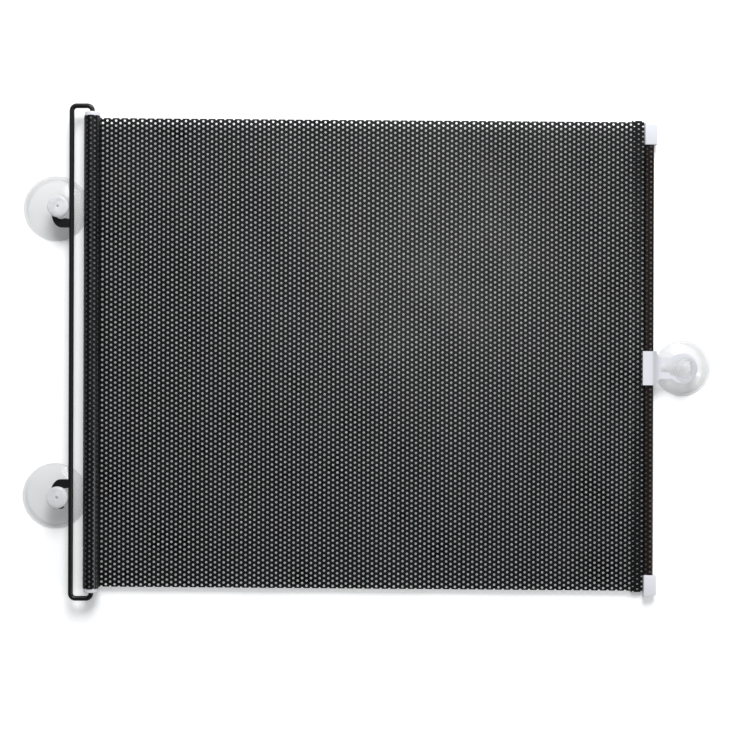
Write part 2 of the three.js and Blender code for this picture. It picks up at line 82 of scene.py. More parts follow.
def addModifier(piece, kind, **settings):
    modifier = piece.modifiers.new(kind.lower(), kind)
    for name, value in settings.items():
        setattr(modifier, name, value)
    return modifier


def looseObject(bm, name):
    mesh = bpy.data.meshes.new(name)
    bm.to_mesh(mesh)
    bm.free()
    made = bpy.data.objects.new(name, mesh)
    bpy.context.scene.collection.objects.link(made)
    return made


def applied(piece):  # its modifiers' result as a new bmesh; the piece itself goes
    bm = bmesh.new()
    bm.from_object(piece, bpy.context.evaluated_depsgraph_get())
    mesh = piece.data
    bpy.data.objects.remove(piece)
    bpy.data.meshes.remove(mesh)
    return bm


def finishedPiece(bm, name, materials, body, replaced, sharpAngle=35):
    piece = looseObject(bm, name)
    for material in materials:
        piece.data.materials.append(material)
    piece.data.shade_smooth()
    piece.data.set_sharp_from_angle(angle=math.radians(sharpAngle))
    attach(piece, body)
    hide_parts(replaced)
    return piece


def everything(bm):
    return bm.verts[:] + bm.edges[:] + bm.faces[:]


def outward(bm):
    bmesh.ops.remove_doubles(bm, verts=bm.verts, dist=hair)
    bmesh.ops.recalc_face_normals(bm, faces=bm.faces)


def lathe(profile, centre, axis, across, steps):  # profile is [radius, height] pairs, turned about the axis
    bm = bmesh.new()
    axis, across, centre = Vector(axis), Vector(across), Vector(centre)
    points = [bm.verts.new(centre + across * r + axis * h) for r, h in profile]
    for first, second in zip(points, points[1:]):
        bm.edges.new((first, second))
    bmesh.ops.spin(bm, geom=bm.verts[:] + bm.edges[:], cent=centre, axis=axis, angle=math.tau,
                   steps=steps, use_merge=True)
    outward(bm)
    return bm


def arcPoints(centre, radius, fromDegrees, toDegrees, steps):
    turns = [math.radians(fromDegrees + (toDegrees - fromDegrees) * i / steps) for i in range(steps + 1)]
    return [(centre[0] + radius * math.cos(a), centre[1] + radius * math.sin(a)) for a in turns]


def prism(outline, low, high, place):  # place turns an outline point and a height into a point in space
    bm = bmesh.new()
    face = bm.faces.new([bm.verts.new(place(u, v, low)) for u, v in outline])
    made = bmesh.ops.extrude_face_region(bm, geom=[face])
    moved = [v for v in made["geom"] if isinstance(v, bmesh.types.BMVert)]
    shift = place(0, 0, high) - place(0, 0, low)
    bmesh.ops.translate(bm, verts=moved, vec=shift)
    bmesh.ops.recalc_face_normals(bm, faces=bm.faces)
    return bm


def combined(base, *steps):  # steps are (operation, bmesh) pairs for the Boolean modifier
    body = looseObject(base, "base")
    tools = []
    for operation, bm in steps:
        tool = looseObject(bm, "tool")
        addModifier(body, "BOOLEAN", operation=operation, object=tool, solver="EXACT")
        tools.append(tool)
    result = applied(body)
    for tool in tools:
        bpy.data.objects.remove(tool)
    return result


# camera at the photograph's viewing angle

photoView = {
    "height": 1.1,
    "overX": 7.3 * mm,
    "overY": -18.6 * mm,
    "turnDegrees": 0.2,
    "lens": 61.6,
    "sensor": 36,
}
camera = bpy.data.objects.new("photoCamera", bpy.data.cameras.new("photoCamera"))
bpy.context.scene.collection.objects.link(camera)
camera.location = (photoView["overX"], photoView["overY"], photoView["height"])
camera.rotation_euler = (0, 0, math.radians(photoView["turnDegrees"]))
camera.data.lens = photoView["lens"]
camera.data.sensor_width = photoView["sensor"]
bpy.context.scene.camera = camera


# floor, lamps and world

studio = {
    "floorSize": 8,
    "floorSink": 0.1 * mm,
    "floorColour": "e8e8e9",
    "floorSeen": "fbfbfb",  # what the camera, gloss and clear plastic see of the floor
    "floorGain": 1.28,  # and how much of its light comes back to them, so that it shows white
    "worldColour": "f4f6f8",
    "worldStrength": 0.42,
    "worldInGloss": 0.05,
}
lamps = {  # name: place, disk width, power
    "keyLamp": ((0.2, 1.75, 1.5), 1.2, 47),
    "softCard": ((0.187, 0.25, 2.2), 0.36, 1.3),
    "sideLamp": ((1.6, -0.4, 1.0), 0.4, 5),
}


def seenDirectly(tree):  # 1 for camera, glossy and transmission rays
    path = addNode(tree, "ShaderNodeLightPath")
    first = addNode(tree, "ShaderNodeMath", {0: path.outputs["Is Camera Ray"],
                                             1: path.outputs["Is Glossy Ray"]}, operation="MAXIMUM")
    return addNode(tree, "ShaderNodeMath", {0: first.outputs[0], 1: path.outputs["Is Transmission Ray"]},
                   operation="MAXIMUM").outputs[0]


def whiteBoard():  # matt white board under the object
    material, tree = newMaterial("whiteBoard")
    seen = seenDirectly(tree)
    colour = addNode(tree, "ShaderNodeMix", {0: seen, 6: linearColour(studio["floorColour"]),
                                             7: linearColour(studio["floorSeen"])}, data_type="RGBA")
    gain = addNode(tree, "ShaderNodeMapRange", {"Value": seen, "To Min": 1.0,
                                                "To Max": studio["floorGain"]})
    bright = addNode(tree, "ShaderNodeVectorMath", {0: colour.outputs[2], "Scale": gain.outputs[0]},
                     operation="SCALE")
    matt = addNode(tree, "ShaderNodeBsdfDiffuse", {"Color": bright.outputs[0]})
    addNode(tree, "ShaderNodeOutputMaterial", {"Surface": matt.outputs[0]})
    return material


floorMesh = bmesh.new()
bmesh.ops.create_grid(floorMesh, x_segments=1, y_segments=1, size=studio["floorSize"] / 2,
                      matrix=Matrix.Translation((0, 0, -studio["floorSink"])))
floor = looseObject(floorMesh, "floor")
floor.data.materials.append(whiteBoard())

for name, (place, width, power) in lamps.items():
    lamp = bpy.data.objects.new(name, bpy.data.lights.new(name, "AREA"))
    bpy.context.scene.collection.objects.link(lamp)
    lamp.data.shape = "DISK"
    lamp.data.size = width
    lamp.data.energy = power
    lamp.location = place
    lamp.rotation_euler = (-Vector(place)).to_track_quat("-Z", "Y").to_euler()

world = bpy.data.worlds.new("studioWorld")
bpy.context.scene.world = world
world.use_nodes = True
world.node_tree.nodes.clear()
rays = addNode(world.node_tree, "ShaderNodeLightPath")
inGloss = addNode(world.node_tree, "ShaderNodeMapRange",
                  {"Value": rays.outputs["Is Glossy Ray"], "To Min": studio["worldStrength"],
                   "To Max": studio["worldInGloss"]})
worldStrength = addNode(world.node_tree, "ShaderNodeMath",  # white where the camera sees past the floor
                        {0: inGloss.outputs[0], 1: rays.outputs["Is Camera Ray"]}, operation="MAXIMUM")
worldLight = addNode(world.node_tree, "ShaderNodeBackground",
                     {"Color": linearColour(studio["worldColour"]), "Strength": worldStrength.outputs[0]})
addNode(world.node_tree, "ShaderNodeOutputWorld", {"Surface": worldLight.outputs[0]})
bpy.context.scene.view_settings.view_transform = "Standard"
print("camera, floor and lamps placed")


# materials

def blackPvcFilm():  # soft PVC film, calendered: deep black, half gloss, a faint pebble from the rolls
    look = {"colour": "0d0d0f", "pebbleWidth": 0.9 * mm, "pebbleHeight": 0.02 * mm, "smearWidth": 45 * mm,
            "roughLow": 0.26, "roughHigh": 0.36, "ior": 1.53}
    material, tree = newMaterial("blackPvcFilm")
    place = addNode(tree, "ShaderNodeTexCoord").outputs["Object"]
    pebble = addNode(tree, "ShaderNodeTexNoise", {"Vector": place, "Scale": 1 / look["pebbleWidth"],
                                                  "Detail": 2.0})
    smear = addNode(tree, "ShaderNodeTexNoise", {"Vector": place, "Scale": 1 / look["smearWidth"],
                                                 "Detail": 3.0})
    rough = addNode(tree, "ShaderNodeMapRange", {"Value": smear.outputs["Fac"], "From Min": 0.3,
                                                 "From Max": 0.7, "To Min": look["roughLow"],
                                                 "To Max": look["roughHigh"]})
    bump = addNode(tree, "ShaderNodeBump", {"Height": pebble.outputs["Fac"], "Strength": 0.5,
                                            "Distance": look["pebbleHeight"]})
    surface = addNode(tree, "ShaderNodeBsdfPrincipled", {"Base Color": linearColour(look["colour"]),
                                                         "Roughness": rough.outputs[0], "IOR": look["ior"],
                                                         "Normal": bump.outputs[0]})
    addNode(tree, "ShaderNodeOutputMaterial", {"Surface": surface.outputs[0]})
    return material


def blackDippedSteel():  # steel wire in a dipped vinyl coat: satin black with soft orange peel
    look = {"colour": "131314", "peelWidth": 1.6 * mm, "peelHeight": 0.03 * mm, "roughness": 0.38,
            "ior": 1.5}
    material, tree = newMaterial("blackDippedSteel")
    place = addNode(tree, "ShaderNodeTexCoord").outputs["Object"]
    peel = addNode(tree, "ShaderNodeTexNoise", {"Vector": place, "Scale": 1 / look["peelWidth"],
                                                "Detail": 1.0})
    rough = addNode(tree, "ShaderNodeMapRange", {"Value": peel.outputs["Fac"],
                                                 "To Min": look["roughness"] - 0.08,
                                                 "To Max": look["roughness"] + 0.08})
    bump = addNode(tree, "ShaderNodeBump", {"Height": peel.outputs["Fac"], "Strength": 0.4,
                                            "Distance": look["peelHeight"]})
    surface = addNode(tree, "ShaderNodeBsdfPrincipled", {"Base Color": linearColour(look["colour"]),
                                                         "Roughness": rough.outputs[0], "IOR": look["ior"],
                                                         "Normal": bump.outputs[0]})
    addNode(tree, "ShaderNodeOutputMaterial", {"Surface": surface.outputs[0]})
    return material


def mouldedPlastic(name, colour, roughness, ior, cloudy=0.03, glow=0.0):  # sparked mould: even fine grain
    look = {"grainWidth": 0.7 * mm, "grainHeight": 0.012 * mm, "flowWidth": 14 * mm}
    material, tree = newMaterial(name)
    place = addNode(tree, "ShaderNodeTexCoord").outputs["Object"]
    grain = addNode(tree, "ShaderNodeTexNoise", {"Vector": place, "Scale": 1 / look["grainWidth"],
                                                 "Detail": 2.0})
    flow = addNode(tree, "ShaderNodeTexNoise", {"Vector": place, "Scale": 1 / look["flowWidth"],
                                                "Detail": 2.0})
    full = linearColour(colour)
    dim = [c * (1 - 2 * cloudy) for c in full[:3]] + [1.0]
    shade = addNode(tree, "ShaderNodeMix", {0: flow.outputs["Fac"], 6: dim, 7: full}, data_type="RGBA")
    rough = addNode(tree, "ShaderNodeMapRange", {"Value": grain.outputs["Fac"], "To Min": roughness - 0.07,
                                                 "To Max": roughness + 0.07})
    bump = addNode(tree, "ShaderNodeBump", {"Height": grain.outputs["Fac"], "Strength": 0.5,
                                            "Distance": look["grainHeight"]})
    surface = addNode(tree, "ShaderNodeBsdfPrincipled", {"Base Color": shade.outputs[2],
                                                         "Roughness": rough.outputs[0], "IOR": ior,
                                                         "Subsurface Weight": glow,
                                                         "Subsurface Scale": 2 * mm,
                                                         "Normal": bump.outputs[0]})
    addNode(tree, "ShaderNodeOutputMaterial", {"Surface": surface.outputs[0]})
    return material


def clearSoftVinyl():  # plasticised clear PVC, moulded: greyish clear, a slight haze on the skin
    look = {"colour": "f6f7f8", "hazeWidth": 3 * mm, "roughLow": 0.05, "roughHigh": 0.16, "ior": 1.52,
            "alpha": 0.36}
    material, tree = newMaterial("clearSoftVinyl")
    place = addNode(tree, "ShaderNodeTexCoord").outputs["Object"]
    haze = addNode(tree, "ShaderNodeTexNoise", {"Vector": place, "Scale": 1 / look["hazeWidth"],
                                                "Detail": 3.0})
    rough = addNode(tree, "ShaderNodeMapRange", {"Value": haze.outputs["Fac"], "To Min": look["roughLow"],
                                                 "To Max": look["roughHigh"]})
    surface = addNode(tree, "ShaderNodeBsdfPrincipled", {"Base Color": linearColour(look["colour"]),
                                                         "Roughness": rough.outputs[0], "IOR": look["ior"],
                                                         "Alpha": look["alpha"],
                                                         "Transmission Weight": 0.65})
    addNode(tree, "ShaderNodeOutputMaterial", {"Surface": surface.outputs[0]})
    return material


def milkySoftVinyl():  # the same plastic where it is thick: cloudy white, light passes as a glow
    look = {"colour": "f3f4f7", "cloudWidth": 4 * mm, "roughness": 0.22, "ior": 1.52, "alpha": 0.8}
    material, tree = newMaterial("milkySoftVinyl")
    place = addNode(tree, "ShaderNodeTexCoord").outputs["Object"]
    cloud = addNode(tree, "ShaderNodeTexNoise", {"Vector": place, "Scale": 1 / look["cloudWidth"],
                                                 "Detail": 2.0})
    through = addNode(tree, "ShaderNodeMapRange", {"Value": cloud.outputs["Fac"], "To Min": 0.1,
                                                   "To Max": 0.35})
    surface = addNode(tree, "ShaderNodeBsdfPrincipled", {"Base Color": linearColour(look["colour"]),
                                                         "Roughness": look["roughness"],
                                                         "IOR": look["ior"],
                                                         "Alpha": look["alpha"],
                                                         "Transmission Weight": through.outputs[0]})
    addNode(tree, "ShaderNodeOutputMaterial", {"Surface": surface.outputs[0]})
    return material


def drawnSpringSteel():  # hard-drawn music wire: bright grey with fine die lines
    look = {"colour": "a9adb2", "lineWidth": 0.25 * mm, "roughness": 0.3}
    material, tree = newMaterial("drawnSpringSteel")
    place = addNode(tree, "ShaderNodeTexCoord").outputs["Object"]
    lines = addNode(tree, "ShaderNodeTexNoise", {"Vector": place, "Scale": 1 / look["lineWidth"]})
    rough = addNode(tree, "ShaderNodeMapRange", {"Value": lines.outputs["Fac"],
                                                 "To Min": look["roughness"] - 0.1,
                                                 "To Max": look["roughness"] + 0.1})
    surface = addNode(tree, "ShaderNodeBsdfPrincipled", {"Base Color": linearColour(look["colour"]),
                                                         "Roughness": rough.outputs[0], "Metallic": 1.0})
    addNode(tree, "ShaderNodeOutputMaterial", {"Surface": surface.outputs[0]})
    return material


filmLook = blackPvcFilm()
wireLook = blackDippedSteel()
whiteLook = mouldedPlastic("whitePolypropylene", "e3e4ea", 0.42, ior=1.49, cloudy=0.015, glow=0.1)
barLook = mouldedPlastic("brownExtrudedPvc", "6b544a", 0.55, ior=1.53)
tubeLook = mouldedPlastic("greyExtrudedPvc", "8d8f92", 0.5, ior=1.53)
nylonLook = mouldedPlastic("naturalNylon", "d9d4c4", 0.45, ior=1.53, glow=0.1)
clearLook = clearSoftVinyl()
milkyLook = milkySoftVinyl()
springLook = drawnSpringSteel()
carriedNodes = {
    "roller_tube": tubeLook,
    "pull_bar": barLook,
    "spring_arbor": nylonLook,
    "spring_anchor": nylonLook,
    "torsion_spring": springLook,
    "arbor_retainer": springLook,
}
for name, look in carriedNodes.items():
    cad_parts[name].data.materials.clear()
    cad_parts[name].data.materials.append(look)
print("materials made")


# perforated film

perforation = {
    "pitch": 4.3 * mm,
    "holeRadius": 1.06 * mm,
    "sides": 12,
    "thickness": 0.25 * mm,
}
columnStride = perforation["pitch"] * math.sqrt(3)  # two columns, the second half a pitch lower


def punchedTile():  # one repeat of the pattern: a hole in the middle and a quarter hole at each corner
    halfX, halfY = columnStride / 2, perforation["pitch"] / 2
    bm = bmesh.new()
    for x, y in ((0, 0), (-halfX, -halfY), (halfX, -halfY), (halfX, halfY), (-halfX, halfY)):
        bmesh.ops.create_circle(bm, segments=perforation["sides"], radius=perforation["holeRadius"],
                                matrix=Matrix.Translation((x, y, 0)))
    outside = [v for v in bm.verts if abs(v.co.x) > halfX + hair or abs(v.co.y) > halfY + hair]
    bmesh.ops.delete(bm, geom=outside, context="VERTS")
    ends = [v for v in bm.verts if len(v.link_edges) == 1]
    for side in (-1, 1):
        for axis, half in ((0, halfX), (1, halfY)):
            bm.edges.new([v for v in ends if abs(v.co[axis] - side * half) < hair])
    bmesh.ops.triangle_fill(bm, edges=bm.edges[:], use_beauty=True)
    return bm


def punchedSheet(length, width, start=0):  # flat, x from 0 to length, y centred; cuts run through holes
    tile = looseObject(punchedTile(), "tile")
    pitch = perforation["pitch"]
    counts = math.ceil((start + length) / columnStride) + 1, math.ceil(width / pitch) + 2
    for count, step in zip(counts, ((columnStride, 0, 0), (0, pitch, 0))):
        addModifier(tile, "ARRAY", count=count, use_relative_offset=False, use_constant_offset=True,
                    constant_offset_displace=step, use_merge_vertices=True, merge_threshold=hair)
    bm = applied(tile)
    bmesh.ops.translate(bm, verts=bm.verts, vec=(-start, -(counts[1] - 1) * pitch / 2, 0))
    for point, normal in (((0, 0, 0), (-1, 0, 0)), ((length, 0, 0), (1, 0, 0)),
                          ((0, -width / 2, 0), (0, -1, 0)), ((0, width / 2, 0), (0, 1, 0))):
        bmesh.ops.bisect_plane(bm, geom=everything(bm), plane_co=point, plane_no=normal,
                               clear_outer=True)
    return bm


def scored(bm, places):  # adds edges across the sheet at these x, so that it can bend there
    for x in places:
        bmesh.ops.bisect_plane(bm, geom=everything(bm), plane_co=(x, 0, 0), plane_no=(1, 0, 0))


rollAxis = sum(cadBox["roller_tube"], Vector()) / 2
panelLow, panelHigh = cadBox["film_panel"]
hemLow, hemHigh = cadBox["film_hem"]
filmWidth = hemHigh.y - hemLow.y
hemMiddleY = (hemHigh.y + hemLow.y) / 2
filmZ = (panelLow.z + panelHigh.z) / 2

panelShape = {
    "slack": 0.35 * mm,  # how far the film waves up and down
    "waveLength": 105 * mm,
    "waveTurn": 0.6,
    "crossWidth": 0.7,  # the wave across the film, as a share of its width
    "crossDrift": 3,
    "hemLap": 0.3 * mm,
}


def filmPanel():
    endX = hemLow.x + panelShape["hemLap"]
    length = endX - rollAxis.x
    bm = punchedSheet(length, filmWidth)
    for v in bm.verts:
        along = v.co.x / length
        wave = math.sin(math.tau * (v.co.x + panelShape["waveTurn"] * v.co.y) / panelShape["waveLength"])
        cross = math.sin(math.tau * v.co.y / (filmWidth * panelShape["crossWidth"])
                         + panelShape["crossDrift"] * along)
        v.co.z = panelShape["slack"] * math.sin(math.pi * along) * (wave + cross) / 2
        v.co.y += hemMiddleY * along
    bmesh.ops.translate(bm, verts=bm.verts, vec=(rollAxis.x, 0, filmZ))
    piece = finishedPiece(bm, "perforatedFilm", [filmLook], "bracket", "film_panel", 60)
    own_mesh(piece)
    return piece


woundShape = {
    "turns": 2.25,
    "columnPairs": 6,
    "firstRadius": 6.15 * mm,
    "turnPitch": 0.35 * mm,
    "score": 0.9 * mm,
}


def woundFilm():  # the film's last turns, which leave the roll at its lowest line
    turns, pitch = woundShape["turns"], woundShape["turnPitch"]
    inner = woundShape["firstRadius"] + perforation["thickness"] / 2
    oneTurn = woundShape["columnPairs"] * columnStride  # so the holes of all turns lie over each other
    length = turns * oneTurn
    bm = punchedSheet(length, filmWidth)
    steps = int(length / woundShape["score"])
    scored(bm, [length * i / steps for i in range(1, steps)])
    for v in bm.verts:
        turn = v.co.x / oneTurn
        angle = -math.pi / 2 - math.tau * (turns - turn)
        radius = inner + turn * pitch
        v.co = (rollAxis.x + radius * math.cos(angle), v.co.y, rollAxis.z + radius * math.sin(angle))
    piece = finishedPiece(bm, "rolledFilm", [filmLook], "roller", "film_wound", 60)
    return piece


hemShape = {
    "pocket": 8.6 * mm,
    "pocketHalf": 1.85 * mm,
    "notchUpper": 20 * mm,
    "notchLower": 14 * mm,
    "turnSteps": 10,
    "stretch": 0.006,  # the upper layer is pulled a little longer, so its holes drift off towards the ends
}


def hemPath():  # the film's middle line, from the panel round the pocket and back over the band
    t = perforation["thickness"]
    pullX, half = hemHigh.x, hemShape["pocketHalf"] - t / 2
    pocketX = pullX - hemShape["pocket"]
    z = (hemLow.z + hemHigh.z) / 2
    turnX, riseX = pullX - hemShape["pocketHalf"], pocketX + hemShape["pocketHalf"]
    rise = [(pocketX + (riseX - pocketX) * s, t / 2 + (half - t / 2) * math.sin(s * math.pi / 2))
            for s in (0, 0.25, 0.5, 0.75, 1)]
    lower = [(hemLow.x, -t / 2)] + [(x, -h) for x, h in rise]
    upper = [(x, h) for x, h in reversed(rise)] + [(hemLow.x, t / 2)]
    path = lower + arcPoints((turnX, 0), half, -90, 90, hemShape["turnSteps"]) + upper
    return [Vector((x, 0, z + h)) for x, h in path], pocketX


def filmHem():  # folded over and welded, the fold left open as a pocket for the bar
    path, pocketX = hemPath()
    lengths = [0.0]
    for first, second in zip(path, path[1:]):
        lengths.append(lengths[-1] + (second - first).length)
    foldMatch = columnStride - lengths[-1] % columnStride / 2  # holes of both layers then meet
    bm = punchedSheet(lengths[-1], filmWidth, foldMatch)
    scored(bm, lengths[1:-1])
    cuts = (filmWidth / 2 - hemShape["notchUpper"], hemShape["notchLower"] - filmWidth / 2)
    pocketStart, pocketEnd = lengths[1], lengths[-2]
    for y in cuts:
        bmesh.ops.bisect_plane(bm, geom=everything(bm), plane_co=(0, y, 0), plane_no=(0, 1, 0))
    notched = []
    for face in bm.faces:
        middle = face.calc_center_median()
        if pocketStart < middle.x < pocketEnd and not cuts[1] < middle.y < cuts[0]:
            notched.append(face)
    bmesh.ops.delete(bm, geom=notched, context="FACES")
    for v in bm.verts:
        at = next((i for i in range(1, len(lengths)) if v.co.x <= lengths[i] + hair), len(lengths) - 1)
        share = (v.co.x - lengths[at - 1]) / (lengths[at] - lengths[at - 1])
        point = path[at - 1].lerp(path[at], share)
        stretch = 1 + hemShape["stretch"] * v.co.x / lengths[-1]
        v.co = (point.x, v.co.y * stretch + hemMiddleY, point.z)
    piece = finishedPiece(bm, "foldedHem", [filmLook], "pull_end", "film_hem", 60)
    return piece


filmPanel()
print("film panel made")
woundFilm()
filmHem()
print("roll and hem made")


# wire bracket

bracketShape = {
    "radius": 2.1 * mm,
    "outward": 0.6 * mm,  # the middle run stands this much outside the CAD wire
    "bend": 4.2 * mm,
    "sides": 20,
    "bendSteps": 10,
    "upperTip": 7 * mm,  # how far the tips lie inside the film's ends
    "lowerTip": 23 * mm,
    "flatLength": 9 * mm,
    "flatRamp": 1 * mm,
    "flatShare": (0.48, 1, 0.88),
}


def wireBracket():  # one wire: in from the upper plug, round both corners, and in to the spring's arbor
    low, high = cadBox["wire_bracket"]
    radius, turn = bracketShape["radius"], bracketShape["bend"]
    axisX, wireX, runY = rollAxis.x, low.x + radius - bracketShape["outward"], high.y - radius
    z = (low.z + high.z) / 2
    bm = bmesh.new()
    start = Matrix.Translation((axisX, filmWidth / 2 - bracketShape["upperTip"], z))
    upright = Matrix.Rotation(math.pi / 2, 4, "X")
    bmesh.ops.create_circle(bm, cap_ends=True, segments=bracketShape["sides"], radius=radius,
                            matrix=start @ upright)
    ring = bm.edges[:]

    def straightTo(ring, offset, shrink=None):
        made = bmesh.ops.extrude_edge_only(bm, edges=ring)
        points = [v for v in made["geom"] if isinstance(v, bmesh.types.BMVert)]
        bmesh.ops.translate(bm, verts=points, vec=offset)
        if shrink:
            middle = sum((v.co for v in points), Vector()) / len(points)
            bmesh.ops.scale(bm, verts=points, vec=shrink, space=Matrix.Translation(-middle))
        return [e for e in made["geom"] if isinstance(e, bmesh.types.BMEdge) and e.is_boundary]

    def bendAt(ring, centreX, centreY):
        made = bmesh.ops.spin(bm, geom=ring, cent=(centreX, centreY, z), axis=(0, 0, 1),
                              angle=math.pi / 2, steps=bracketShape["bendSteps"])
        return [e for e in made["geom_last"] if isinstance(e, bmesh.types.BMEdge)]

    inner = runY - turn
    ring = straightTo(ring, (0, inner - (filmWidth / 2 - bracketShape["upperTip"]), 0))
    ring = bendAt(ring, axisX - turn, inner)
    ring = straightTo(ring, (wireX - axisX + 2 * turn, 0, 0))
    ring = bendAt(ring, wireX + turn, inner)
    ring = straightTo(ring, (0, -2 * inner, 0))
    ring = bendAt(ring, wireX + turn, -inner)
    ring = straightTo(ring, (axisX - wireX - 2 * turn, 0, 0))
    ring = bendAt(ring, axisX - turn, -inner)
    tip = -filmWidth / 2 + bracketShape["lowerTip"]
    flat = tip - bracketShape["flatLength"]
    ring = straightTo(ring, (0, flat + inner, 0))
    ring = straightTo(ring, (0, bracketShape["flatRamp"], 0), bracketShape["flatShare"])
    ring = straightTo(ring, (0, bracketShape["flatLength"] - bracketShape["flatRamp"], 0))
    bmesh.ops.contextual_create(bm, geom=ring)
    outward(bm)
    return finishedPiece(bm, "bentWire", [wireLook], "bracket", "wire_bracket", 50)


# the cups' sizes, which the hooks need too
cupShape = {
    "land": 1.8 * mm,
    "neckRadius": 4.25 * mm,
    "neckBase": 10 * mm,
    "neckLength": 3.5 * mm,
    "headRadius": 9.3 * mm,
    "headHeight": 4.5 * mm,
    "pitRadius": 1.1 * mm,
    "pitDepth": 3.4 * mm,
    "roof": 2.2 * mm,
    "steps": 36,
}
cupLean = 5.5 * mm

hookShape = {
    "wall": 1.8 * mm,
    "upperOffset": 13.9 * mm,  # from the cup's neck to the arm
    "lowerOffset": 11.6 * mm,
    "armWidth": 7.2 * mm,
    "eyeHeight": 16.2 * mm,
    "eyeHalfWidth": 6.7 * mm,
    "eyePlay": 0.3 * mm,
    "tip": 5.7 * mm,
    "thickness": 2.9 * mm,
    "edge": 0.7 * mm,
    "arcSteps": 28,
}


def cupHook(name, node, cupNode, side, armOffset):  # a flat C round the cup's neck, welded to the wire
    wireX = cadBox["wire_bracket"][0].x + bracketShape["radius"] - bracketShape["outward"]
    cupLow, cupHigh = cadBox[cupNode]
    neckX = cupLow.x + (cupHigh.y - cupLow.y) / 2 + cupLean
    armY = side * (cupLow.y + cupHigh.y) / 2 - armOffset
    halfWide, tall = hookShape["eyeHalfWidth"], hookShape["eyeHeight"]
    arm, wall, steps = hookShape["armWidth"], hookShape["wall"], hookShape["arcSteps"]
    eyeU = wireX - neckX + cupShape["neckRadius"] + hookShape["eyePlay"] - halfWide
    outerWide, outerTall = halfWide + wall, (arm + tall + wall) / 2
    outerTip, innerTip = (math.degrees(math.acos((hookShape["tip"] - eyeU) / wide))
                          for wide in (outerWide, halfWide))
    outline = [(0, -arm / 2)]
    outline += [(eyeU + outerWide * x, outerTall - arm / 2 + outerTall * y)
                for x, y in arcPoints((0, 0), 1, -90, outerTip, steps)]
    outline += [(eyeU + halfWide * x, (arm + tall) / 2 + tall / 2 * y)
                for x, y in arcPoints((0, 0), 1, innerTip, -innerTip, steps)]
    outline.append((0, arm / 2))
    half = hookShape["thickness"] / 2
    bm = prism(outline, rollAxis.z - half, rollAxis.z + half,
               lambda u, v, h: Vector((wireX - u, side * (armY + v), h)))
    piece = finishedPiece(bm, name, [wireLook], "bracket", node, 50)
    addModifier(piece, "BEVEL", width=hookShape["edge"], segments=3, limit_method="ANGLE",
                angle_limit=math.radians(40), profile=0.5)
    return piece


wireBracket()
cupHook("bentHookUpper", "cup_hook_upper", "suction_cup_upper", 1, hookShape["upperOffset"])
cupHook("bentHookLower", "cup_hook_lower", "suction_cup_lower", -1, hookShape["lowerOffset"])
print("wire and hooks made")


# suction cups

def suctionCup(name, node, body, lean, headLook):
    low, high = cadBox[node]
    rim = (high.y - low.y) / 2
    centre = Vector((low.x + rim + lean, (high.y + low.y) / 2, 0))
    base, headBase = cupShape["neckBase"], cupShape["neckBase"] + cupShape["neckLength"]
    top = headBase + cupShape["headHeight"]
    roof, inside = base - cupShape["roof"], rim - cupShape["land"]
    neck, head, pit = cupShape["neckRadius"], cupShape["headRadius"], cupShape["pitRadius"]
    profile = [
        (0, roof), (inside * 0.3, roof * 0.95), (inside * 0.6, roof * 0.72), (inside * 0.85, roof * 0.35),
        (inside * 0.97, roof * 0.08), (inside, 0), (rim, 0), (rim, 0.5 * mm), (rim * 0.965, 1.15 * mm),
        (rim * 0.85, base * 0.33), (rim * 0.62, base * 0.64), (rim * 0.36, base * 0.87),
        (neck * 1.3, base * 0.96), (neck, base + 0.3 * mm), (neck, headBase - 0.2 * mm), (neck, headBase),
        (head * 0.9, headBase), (head * 0.985, headBase + 0.3 * mm), (head, headBase + 1.2 * mm),
        (head, headBase + 2.8 * mm), (head * 0.93, headBase + 3.8 * mm), (head * 0.75, top - 0.15 * mm),
        (head * 0.5, top), (pit * 1.15, top), (pit * 0.95, top - 0.3 * mm),
        (pit * 0.7, top - cupShape["pitDepth"]), (0, top - cupShape["pitDepth"]),
    ]
    bm = lathe(profile, centre, (0, 0, 1), (1, 0, 0), cupShape["steps"])
    for v in bm.verts:
        v.co.x -= lean * max(1 - v.co.z / base, 0)
    for face in bm.faces:
        if face.calc_center_median().z > headBase - 0.1 * mm:
            face.material_index = 1
    piece = finishedPiece(bm, name, [clearLook, headLook], body, node, 80)
    addModifier(piece, "SUBSURF", levels=2, render_levels=2)
    return piece


suctionCup("clearCupUpper", "suction_cup_upper", "cup_upper", cupLean, milkyLook)
suctionCup("clearCupLower", "suction_cup_lower", "cup_lower", cupLean, milkyLook)
suctionCup("clearCupPull", "suction_cup_pull", "cup_pull", 0, clearLook)
print("cups made")


# white mouldings

plugShape = {
    "flangeRadius": 6.2 * mm,
    "flangeLength": 3.4 * mm,
    "barrelRadius": 4.95 * mm,
    "barrelLength": 14 * mm,
    "bore": 2.35 * mm,
    "steps": 48,
    "edge": 0.7 * mm,
}


def endPlug(name, node, side):  # a flange on a barrel that is pressed into the tube
    flange, barrel, bore = plugShape["flangeRadius"], plugShape["barrelRadius"], plugShape["bore"]
    out, depth, edge = plugShape["flangeLength"], plugShape["barrelLength"], plugShape["edge"]
    profile = [(bore, -depth), (barrel * 0.9, -depth), (barrel, -depth + edge), (barrel, 0), (flange, 0),
               (flange, out - edge), (flange - 0.3 * edge, out - 0.3 * edge), (flange - edge, out),
               (bore + 0.3 * edge, out), (bore, out - 0.3 * edge)]
    profile.append(profile[0])
    centre = (rollAxis.x, side * filmWidth / 2, rollAxis.z)
    bm = lathe(profile, centre, (0, side, 0), (1, 0, 0), plugShape["steps"])
    return finishedPiece(bm, name, [whiteLook], "roller", node, 30)


capShape = {
    "slant": 2.2 * mm,
    "socket": 14 * mm,
    "wall": 1.5 * mm,
    "edge": 0.7 * mm,
}


